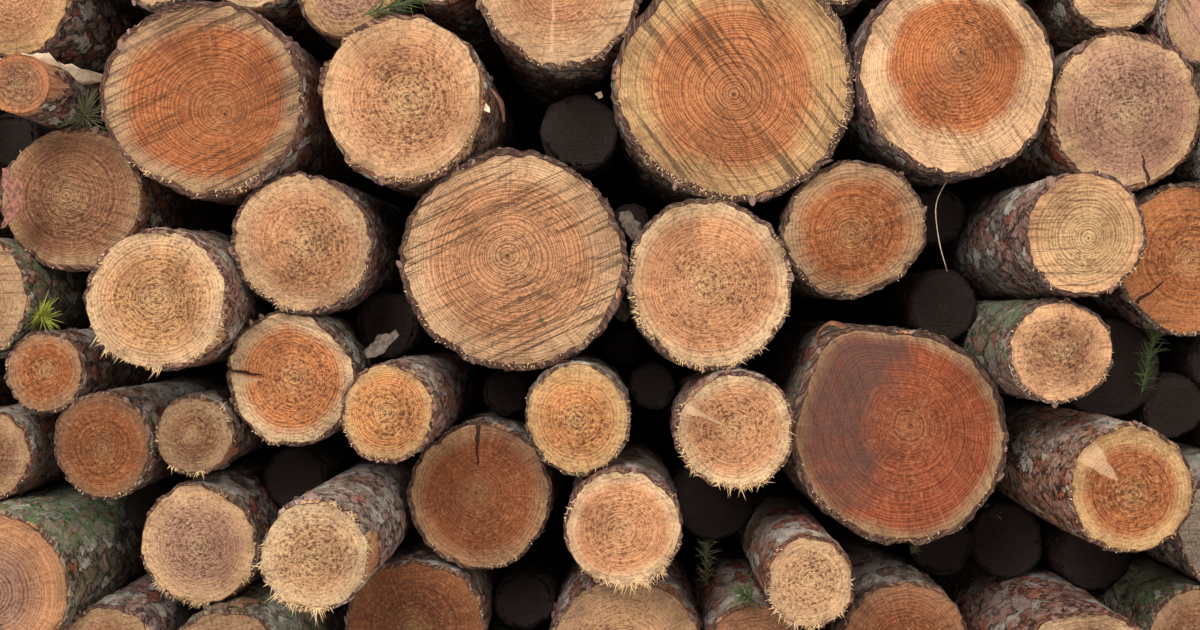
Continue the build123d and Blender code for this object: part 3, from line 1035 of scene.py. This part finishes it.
    steps = [s for s in stem["plainWallSteps" if plain else "wallSteps"] if s < length - 0.1]
    steps = [0.0] + steps + [length - 0.02, length]
    wallStarts, edges = [], []
    for along in steps:
        at, bare = wallRing(along)
        if along == 0.0:
            at[:, 1] += (0.0022 + 0.0025 * around(9, 0.9, 7)) * (1 - bare) + 0.0005
        cut = front if along < length / 2 else back
        start = put(
            at, endPlace=onEnd(at[:, [0, 2]] - cut.middle), endShare=1.0, endRing=cut.radius, endBark=1.0,
            # painted shade of a log set back in a gap, on its bark near the front
            endStain=dim if along < 1 else 0.0,
            shaded=min(dim / 2, 1) * min(max(stem["shadeReach"] - along, 0), 1),
            barkBare=bare,
            barkMoss=look["moss"] * np.clip(0.4 + 0.9 * way[:, 1] + 0.5 * aroundNoise, 0, 1),
            flaky=0.0 if plain else np.clip(1.2 - along / stem["flakeReach"], 0, 1) * (1 - bare),
            outward=np.c_[way[:, 0], spread(-0.3), way[:, 1]],
        )
        newSpots = stripSpots(along, length, spokes)
        if wallStarts:
            band(wallStarts[-1], start, lastSpots, newSpots, 1)
        lastSpots = newSpots
        wallStarts.append(start)
        edges.append((at, bare))
    faceSteps = stem["plainFaceSteps" if plain else "faceSteps"]
    (frontEdge, frontBare), (backEdge, _) = edges[0], edges[-1]
    frontInset = np.maximum(thick * (1 - 0.9 * frontBare), stem["thinnestRim"])
    endFace(front, frontEdge, True, wallStarts[0], frontInset, faceSteps)
    backInset = np.maximum(thick, stem["thinnestRim"])
    endFace(back, backEdge, False, wallStarts[-1], backInset, stem["plainFaceSteps"])
    parts.add(*(np.concatenate(part) for part in (places, faces, spots, kinds)), joinedValues(values))


def joinedValues(values):
    return {key: np.concatenate(rows) for key, rows in values.items()}


def meshFrom(name, parts, materials):
    places = np.concatenate(parts.places)
    faces = np.concatenate(parts.faces)
    kinds = np.concatenate(parts.kinds)
    mesh = bpy.data.meshes.new(name)
    sizes = (faces >= 0).sum(1)
    mesh.vertices.add(len(places))
    mesh.vertices.foreach_set("co", places.astype(np.float32).ravel())
    mesh.loops.add(int(sizes.sum()))
    mesh.loops.foreach_set("vertex_index", faces[faces >= 0].astype(np.int32))
    mesh.polygons.add(len(faces))
    mesh.polygons.foreach_set("loop_start", np.r_[0, np.cumsum(sizes)[:-1]].astype(np.int32))
    mesh.polygons.foreach_set("material_index", kinds.astype(np.int32))
    mesh.polygons.foreach_set("use_smooth", np.ones(len(faces), bool))
    mesh.update(calc_edges=True)
    for key, (kind, field, _) in valueKinds.items():
        rows = np.concatenate([values[key] for values in parts.values]).astype(np.float32)
        mesh.attributes.new(key, kind, "POINT").data.foreach_set(field, rows.ravel())
    cells = math.ceil(math.sqrt(len(parts.spots)))
    corners = [np.array([number % cells, number // cells]) for number in range(len(parts.spots))]
    spots = np.concatenate([(corner + own) / cells for corner, own in zip(corners, parts.spots)])
    layer = mesh.uv_layers.new(name="OFBake")
    layer.uv.foreach_set("vector", spots[faces >= 0].astype(np.float32).ravel())
    for material in materials:
        mesh.materials.append(material)
    mesh.validate()
    return mesh


def plainLook(name, seed):
    if name == "inner_logs":
        # the logs hidden in the stack's gaps get painted shade
        return dict(saw=(0, 0.2), fuzz=0.2, torn=0.0, dim=2.0)
    own = random.Random(name + str(seed))
    return dict(
        heart=own.choice(("orange", "warmTan", "dullBrown", "brightOrange", "pinkTan")),
        sap=own.choice(("greyTan", "yellowTan", "paleTan", "cream")),
        share=own.uniform(0.6, 0.82),
        saw=(own.uniform(-80, 80), own.uniform(0.2, 0.6)),
        rings=own.uniform(0.25, 0.45),
        fuzz=own.uniform(0.2, 0.7),
        bark=own.choice(tuple(barks)),
        moss=own.choice((0, 0, 0.3, 0.7)),
        torn=own.uniform(0.1, 0.5),
    )


# Geometry Nodes: a tree with named inputs, and the plain mesh that it makes of an object

class Nodes(Tree):
    def __init__(self, name, inputs):
        super().__init__(bpy.data.node_groups.new(name, "GeometryNodeTree"))
        face = self.tree.interface
        face.new_socket("Geometry", in_out="INPUT", socket_type="NodeSocketGeometry")
        self.ids = {}
        for label, (kind, value) in inputs.items():
            socket = face.new_socket(label, in_out="INPUT", socket_type="NodeSocket" + kind)
            if value is not None:
                socket.default_value = value
            self.ids[label] = socket.identifier
        face.new_socket("Geometry", in_out="OUTPUT", socket_type="NodeSocketGeometry")
        self.given = self.tree.nodes.new("NodeGroupInput").outputs
        self.end = self.tree.nodes.new("NodeGroupOutput")

    def read(self, name, kind="FLOAT"):
        node = self.add("GeometryNodeInputNamedAttribute", {"data_type": kind}, Name=name)
        return node.outputs["Attribute"]

    def chance(self, low, high, seed, kind="FLOAT"):
        node = self.add("FunctionNodeRandomValue", {"data_type": kind}, Seed=seed)
        first, output = {"FLOAT": (2, 1), "FLOAT_VECTOR": (0, 0)}[kind]
        self.put(node, "i%d" % first, low)
        self.put(node, "i%d" % (first + 1), high)
        return node.outputs[output]

    def stood(self, points, shape, direction, size):
        turned = self.add("FunctionNodeAlignRotationToVector", {"axis": "Z"}, Vector=direction)
        copies = self.add("GeometryNodeInstanceOnPoints", None, Points=points, Instance=shape, Scale=size)
        self.put(copies, "Rotation", turned.outputs[0])
        return self.add("GeometryNodeRealizeInstances", None, Geometry=copies.outputs[0]).outputs[0]

    def scattered(self, mesh, density, seed):
        node = self.add("GeometryNodeDistributePointsOnFaces", None, Mesh=mesh, Density=density, Seed=seed)
        return node.outputs

    def cone(self, sides, top):
        radii = {"Radius_Top": top, "Radius_Bottom": 1.0}
        return self.add("GeometryNodeMeshCone", None, Vertices=sides, Depth=1.0, **radii).outputs["Mesh"]

    def worn(self, geometry, material):
        return self.add("GeometryNodeSetMaterial", None, Geometry=geometry, Material=material).outputs[0]

    def joined(self, parts):
        node = self.add("GeometryNodeJoinGeometry")
        for part in parts:
            self.tree.links.new(part, node.inputs[0])
        return node.outputs[0]


def plainMesh(piece, nodes, values):
    modifier = piece.modifiers.new(nodes.tree.name, "NODES")
    modifier.node_group = nodes.tree
    for label, value in values.items():
        modifier[nodes.ids[label]] = value
    bpy.context.view_layer.update()
    made = bpy.data.meshes.new_from_object(piece.evaluated_get(bpy.context.evaluated_depsgraph_get()))
    piece.modifiers.remove(modifier)
    made.name = piece.name
    piece.data = made


fringe = {
    "Fibres": 215000.0,  # to a square metre of the narrow band where the wood meets the bark
    "Fibre length": 0.015,
    "Fibre width": 0.0009,
    "Flakes": 1100.0,  # to a square metre of bark near the cut
    "Flake size": 0.0075,
}

ragged = Nodes("raggedEdge", {
    "Fibres": ("Float", 1.0), "Fibre length": ("Float", 0.01), "Fibre width": ("Float", 0.0005),
    "Flakes": ("Float", 1.0), "Flake size": ("Float", 0.005), "Seed": ("Int", 3),
    "Fibre finish": ("Material", None), "Flake finish": ("Material", None),
})
given = ragged.given
fringeAt = ragged.read("fringe")
band = ragged.scattered(given["Geometry"], ragged.times(fringeAt, given["Fibres"]), given["Seed"])
bend = ragged.chance((-1.1, -0.7, -1.1), (1.1, 0.5, 1.1), 11, "FLOAT_VECTOR")
lean = ragged.vector("ADD", ragged.read("outward", "FLOAT_VECTOR"), bend)
long = ragged.times(ragged.math("POWER", ragged.chance(0.35, 1.0, 12), 3.0), given["Fibre length"])
long = ragged.times(long, ragged.timesPlus(fringeAt, 0.7, 0.3))
wide = ragged.times(ragged.chance(0.6, 1.5, 13), given["Fibre width"])
fibres = ragged.stood(band["Points"], ragged.cone(3, 0.0), lean, ragged.join(wide, wide, long))
coat = ragged.scattered(given["Geometry"], ragged.times(ragged.read("flaky"), given["Flakes"]), given["Seed"])
plate = ragged.add("GeometryNodeMeshIcoSphere", None, Radius=1.0, Subdivisions=1).outputs["Mesh"]
sway = ragged.chance((-0.35, -0.35, -0.35), (0.35, 0.35, 0.35), 14, "FLOAT_VECTOR")
tilt = ragged.vector("ADD", coat["Normal"], sway)
broad = ragged.times(ragged.chance(0.35, 1.0, 15), given["Flake size"])
flakeSides = ragged.join(ragged.times(broad, 0.75), ragged.times(broad, 1.5), ragged.times(broad, 0.2))
flakes = ragged.stood(coat["Points"], plate, tilt, flakeSides)
ragged.put(ragged.end, "Geometry", ragged.joined([
    ragged.worn(fibres, given["Fibre finish"]),
    ragged.worn(flakes, given["Flake finish"]),
]))


# One object of the faces of many meshes that wear one of these materials
def joinedPiece(name, meshes, materials):
    mesh = bmesh.new()
    made = 0
    for source in meshes:
        mesh.from_mesh(source)
        mesh.faces.ensure_lookup_table()
        for face in mesh.faces[made:]:
            worn = source.materials[face.material_index]
            face.material_index = materials.index(worn) if worn in materials else len(materials)
        made = len(mesh.faces)
    unwanted = [face for face in mesh.faces if face.material_index == len(materials)]
    bmesh.ops.delete(mesh, geom=unwanted, context="FACES")
    data = bpy.data.meshes.new(name)
    mesh.to_mesh(data)
    mesh.free()
    for material in materials:
        data.materials.append(material)
    return placed(name, data)


dressed, edges = {}, []
for number, (name, node) in enumerate(sorted(frame["nodes"].items())):
    parts = MeshParts()
    for count, rings in enumerate(logsOf(node)):
        look = dict(commonLook, **(endLooks.get(name) or plainLook(name, count)))
        dressLog(parts, rings, look, name not in endLooks, 101 + number * 13 + count * 7)
    mesh = meshFrom(name + "_wood", parts, [sawnEndMaterial, barkMaterial])
    dressed[name] = placed(name + "_wood", mesh)
    if name in endLooks:
        edge = placed("edge", mesh.copy())
        finishes = {"Seed": 5 + number, "Fibre finish": fibreMaterial, "Flake finish": flakeMaterial}
        plainMesh(edge, ragged, dict(fringe, **finishes))
        edges.append(edge.data)
        bpy.data.objects.remove(edge)
debris = [
    joinedPiece("tornFibres", edges, [fibreMaterial]),
    joinedPiece("barkFlakes", edges, [flakeMaterial]),
]
made = list(dressed.values()) + debris
triangles = sum(len(face.vertices) - 2 for piece in made for face in piece.data.polygons)
print("logs dressed:", len(dressed), "triangles:", triangles)


# Sprigs and tufts of needles caught between the logs, each where the photo's pixel meets the bark

sprigs = {
    # pixel, way it points, spine length, needles, needle length, spread, finish, needle width
    "greyTuft": ((86, 120), (0.1, -0.9, 0.4), 0.02, 100, 0.052, 1.2, "dry", 0.0011),
    "brightShoot": ((44, 320), (0.0, -1.0, 0.5), 0.02, 120, 0.038, 1.3, "bud", 0.0011),
    "topSpray": ((365, 14), (1.0, -0.2, 0.25), 0.09, 70, 0.04, 0.9, "green", 0.0009),
    "topMoss": ((322, 50), (0.2, -0.6, 0.4), 0.035, 60, 0.018, 1.2, "dry", 0.0007),
    "standingSprig": ((706, 585), (0.0, -0.15, 1.0), 0.085, 110, 0.026, 1.6, "dry", 0.0012),
    "lowSpray": ((752, 602), (-0.5, -0.6, 0.5), 0.03, 60, 0.034, 1.2, "green", 0.0011),
    "redLogSpray": ((862, 545), (0.8, -0.5, 0.3), 0.06, 70, 0.028, 1.2, "green", 0.0011),
    "lichenTuft": ((912, 552), (0.1, -0.6, 0.6), 0.03, 90, 0.014, 1.5, "dry", 0.0009),
    "mossTuft": ((986, 506), (0.6, -0.5, -0.5), 0.02, 80, 0.016, 1.5, "dry", 0.0009),
    "mossSpot": ((541, 320), (0.1, -1.0, 0.1), 0.003, 40, 0.005, 1.6, "green", 0.001),
    "darkSprig": ((1142, 392), (0.1, -0.3, 1.0), 0.1, 110, 0.034, 1.1, "green", 0.0008),
}

sprigStand = {
    "twigRadius": 0.0015,
    "off": 0.002,  # how far the foot stands before the bark, and more by a share of its needles' length
    "lengthShare": 0.35,
}

tuft = Nodes("needleTuft", {
    "Base": ("Vector", None), "Tip": ("Vector", None), "Needles": ("Int", 30),
    "Needle length": ("Float", 0.03), "Needle width": ("Float", 0.0007), "Spread": ("Float", 1.0),
    "Seed": ("Int", 3), "Finish": ("Material", None),
})
given = tuft.given
spine = tuft.vector("SUBTRACT", given["Tip"], given["Base"])
line = tuft.add("GeometryNodeMeshLine", {"mode": "END_POINTS"}, Count=given["Needles"])
tuft.put(line, "Start Location", given["Base"])
tuft.put(line, "Offset", given["Tip"])
stray = tuft.chance((-1, -1, -1), (1, 1, 1), given["Seed"], "FLOAT_VECTOR")
direction = tuft.vector("ADD", tuft.vector("NORMALIZE", spine), tuft.vector("SCALE", stray, given["Spread"]))
reach = tuft.times(tuft.chance(0.5, 1.0, 4), given["Needle length"])
needleSides = tuft.join(given["Needle width"], given["Needle width"], reach)
needles = tuft.stood(line.outputs[0], tuft.cone(3, 0.25), direction, needleSides)
foot = tuft.add("GeometryNodeMeshLine", {"mode": "END_POINTS"}, Count=1)
tuft.put(foot, "Start Location", given["Base"])
twigSides = tuft.join(sprigStand["twigRadius"], sprigStand["twigRadius"], tuft.vector("LENGTH", spine))
twig = tuft.stood(foot.outputs[0], tuft.cone(6, 0.5), spine, twigSides)
tuft.put(tuft.end, "Geometry", tuft.worn(tuft.joined([needles, twig]), given["Finish"]))


def pixelRay(pixel):
    camera = bpy.context.scene.camera
    wide, high = photoView["pixels"]
    across = (pixel[0] - wide / 2) / wide * photoView["sensor"] / photoView["lens"]
    up = (high / 2 - pixel[1]) / wide * photoView["sensor"] / photoView["lens"]
    way = camera.matrix_world.to_3x3() @ Vector((across, up, -1))
    return camera.matrix_world.translation, way.normalized()


for node in frame["nodes"].values():
    node.hide_viewport = True
bpy.context.view_layer.update()


# Strips of bark and wood that hang off the ends: a path, its half width and thickness, curved across
def stripMesh(name, path, widths, across, thick, cup, material):
    path = np.array(path, float)
    rows, columns = 14, 7
    part = np.linspace(0, len(path) - 1, rows)
    base = np.minimum(part.astype(int), len(path) - 2)
    local = (part - base)[:, None]

    def bend(a):  # a smooth curve through the given points
        padded = np.concatenate([2 * a[:1] - a[1:2], a, 2 * a[-1:] - a[-2:-1]])
        q0, q1, q2, q3 = padded[base], padded[base + 1], padded[base + 2], padded[base + 3]
        square = (2 * q0 - 5 * q1 + 4 * q2 - q3) * local ** 2
        cube = (3 * q1 - q0 - 3 * q2 + q3) * local ** 3
        return 0.5 * (2 * q1 + (q2 - q0) * local + square + cube)

    line = bend(path)
    width = bend(np.array(widths, float)[:, None])[:, 0]
    across = np.array(across, float) / np.linalg.norm(across)
    forward = np.gradient(line, axis=0)
    normal = np.cross(forward, across)
    normal /= np.maximum(np.linalg.norm(normal, axis=1), 1e-9)[:, None]
    corners = []
    for side in (1, -1):
        for column in range(columns):
            share = 2 * column / (columns - 1) - 1
            jag = 1 + 0.5 * latticeNoise(line * 140 + column * 3.1, 5)
            raised = side * thick / 2 * (1 - 0.7 * share * share) + cup * share * share
            corners.append(line + across * (share * width * jag)[:, None] + normal * raised)
    corners = np.array(corners)
    mesh = bmesh.new()
    made = [[mesh.verts.new(corners[i, j]) for j in range(rows)] for i in range(2 * columns)]
    loop = list(range(columns)) + list(range(2 * columns - 1, columns - 1, -1))
    for k in range(len(loop)):
        a, b = made[loop[k]], made[loop[(k + 1) % len(loop)]]
        for j in range(rows - 1):
            mesh.faces.new((a[j], a[j + 1], b[j + 1], b[j]))
    mesh.faces.new([made[i][0] for i in loop])
    mesh.faces.new([made[i][-1] for i in reversed(loop)])
    bmesh.ops.recalc_face_normals(mesh, faces=mesh.faces)
    for face in mesh.faces:
        face.smooth = True
    data = bpy.data.meshes.new(name)
    mesh.to_mesh(data)
    mesh.free()
    data.materials.append(material)
    return placed(name, data)


def onPlane(pixel, depth):
    start, along = pixelRay(pixel)
    return start + along * ((depth - start.y) / along.y)


strips = {
    # pixels and depths of the path, half widths, the way across it, thickness, cup, finish
    "barkCurl": (
        (
            (820, 350, -1.47), (819, 333, -1.485), (831, 323, -1.495), (848, 330, -1.497), (866, 337, -1.49),
            (888, 338, -1.48),
        ),
        (0.004, 0.007, 0.008, 0.008, 0.006, 0.003), (0.45, 1, 0.3), 0.005, 0.001, "curl",
    ),
    "pinkFlake": (
        ((6, 168, -1.512), (12, 186, -1.518), (16, 204, -1.515), (4, 228, -1.508)),
        (0.005, 0.013, 0.014, 0.003), (1, -0.25, 0.2), 0.003, 0.003, "peel",
    ),
    "paleSplinter": (
        ((22, 56, -1.515), (46, 66, -1.49), (78, 74, -1.45), (116, 80, -1.4)), (0.005, 0.018, 0.014, 0.003),
        (0.1, -0.6, 0.8), 0.004, 0.002, "splinter",
    ),
    "tornStrip": (
        ((490, 88, -1.5), (500, 102, -1.49), (504, 122, -1.47)), (0.003, 0.008, 0.003), (0.3, 1, 0.1), 0.003,
        0.001, "peel",
    ),
    "whiteChip": (
        ((482, 106, -1.512), (490, 110, -1.512)), (0.006, 0.004), (0, 0, 1), 0.002, 0.001, "splinter"
    ),
    "shardByTop": (
        ((622, 212, -1.42), (630, 226, -1.42), (636, 240, -1.42)), (0.009, 0.013, 0.008), (1, 0.4, 0.2),
        0.004, 0.002, "shard",
    ),
    "shardByMiddle": (
        ((366, 356, -1.42), (380, 346, -1.42), (398, 333, -1.42)), (0.005, 0.012, 0.005), (-0.55, 0.3, 0.8),
        0.004, 0.002, "shard",
    ),
    "shardDeep": (
        ((604, 300, -1.3), (616, 307, -1.3), (628, 318, -1.3)), (0.008, 0.016, 0.008), (0.7, 0.2, 0.9), 0.004,
        0.002, "shard",
    ),
    "shardAtSide": (
        ((1186, 66, -1.15), (1196, 84, -1.15), (1204, 104, -1.15)), (0.012, 0.022, 0.012), (1, 0.2, 0.1),
        0.004, 0.002, "shard",
    ),
    "barkPatchCurl": (
        ((556, 358, -1.475), (566, 372, -1.49), (572, 384, -1.495)), (0.005, 0.01, 0.003), (1, 0.3, 0.5),
        0.003, 0.002, "peel",
    ),
    "hangingFibre": (
        ((948, 178, -1.45), (936, 205, -1.45), (939, 240, -1.45), (947, 271, -1.45)),
        (0.0005, 0.0006, 0.0006, 0.0004), (1, 0.3, 0.2), 0.001, 0.0, "splinter",
    ),
    "whiteBit": (((599, 92, -1.4), (601, 98, -1.4)), (0.006, 0.003), (1, 0, 0.4), 0.002, 0.001, "splinter"),
}
for name, (path, widths, across, thick, cup, finish) in strips.items():
    places = [onPlane((u, v), depth) for u, v, depth in path]
    debris.append(stripMesh(name, places, widths, across, thick, cup, stripFinishes[finish]))
tufts = []
for number, (name, sprig) in enumerate(sprigs.items()):
    pixel, way, spineLength, needles, needleLength, spread, finish, needleWidth = sprig
    start, along = pixelRay(pixel)
    hit, base = bpy.context.scene.ray_cast(bpy.context.evaluated_depsgraph_get(), start, along)[:2]
    if not hit:
        continue
    base = base - along * (sprigStand["off"] + sprigStand["lengthShare"] * needleLength)
    piece = placed(name, bpy.data.meshes.new(name))
    plainMesh(piece, tuft, {
        "Base": base, "Tip": base + Vector(way).normalized() * spineLength, "Needles": needles,
        "Needle length": needleLength, "Spread": spread, "Needle width": needleWidth, "Seed": number,
        "Finish": needleFinishes[finish],
    })
    tufts.append(piece.data)
    bpy.data.objects.remove(piece)
for node in frame["nodes"].values():
    node.hide_viewport = False
debris.append(joinedPiece("caughtNeedles", tufts, list(needleFinishes.values())))
print("sprigs placed:", len(tufts), "strips:", len(strips))
for piece in debris:
    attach(piece, "root")

for name, piece in dressed.items():
    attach(piece, "root")
    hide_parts(name)
print("pieces declared:", len(dressed) + len(debris))
